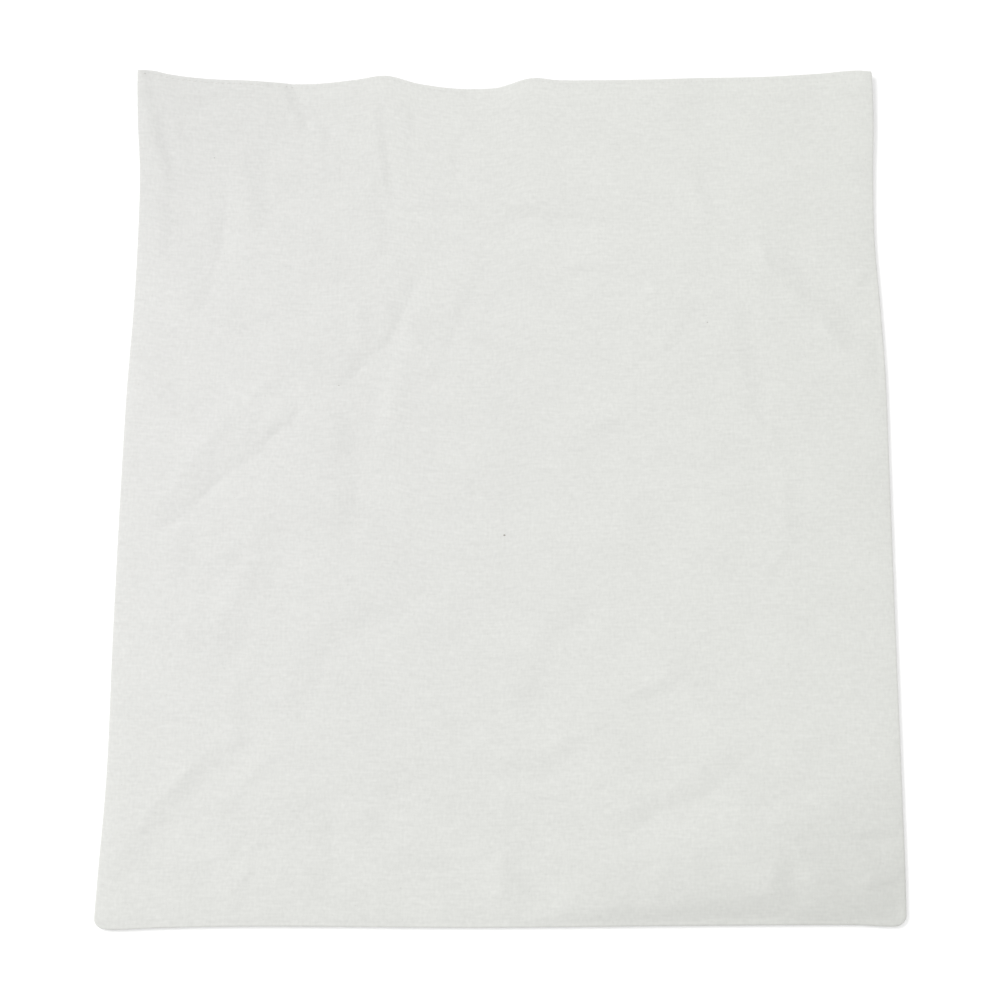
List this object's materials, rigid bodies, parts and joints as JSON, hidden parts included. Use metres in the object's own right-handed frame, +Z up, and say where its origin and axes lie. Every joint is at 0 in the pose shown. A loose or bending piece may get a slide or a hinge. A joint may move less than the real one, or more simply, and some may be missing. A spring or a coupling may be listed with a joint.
{
  "type": "cotton dust bag",
  "caption": "Plain flat storage bag of off-white cotton, seamed at both sides and the bottom, with a hemmed open mouth, lying softly creased on a surface.",
  "frame": {"origin": "under the middle of the bag, on the surface that it lies on", "axes": "+X across the bag, +Y along it from the closed bottom to the open mouth, +Z up"},
  "size_m": [0.4432, 0.5032, 0.0097],
  "materials": {
    "front_cotton": "matt plain-woven unbleached cotton",
    "back_cotton": "matt plain-woven unbleached cotton"
  },
  "bodies": {
    "root": {"front_panel": "front_cotton", "back_panel": "back_cotton"}
  },
  "joints": []
}
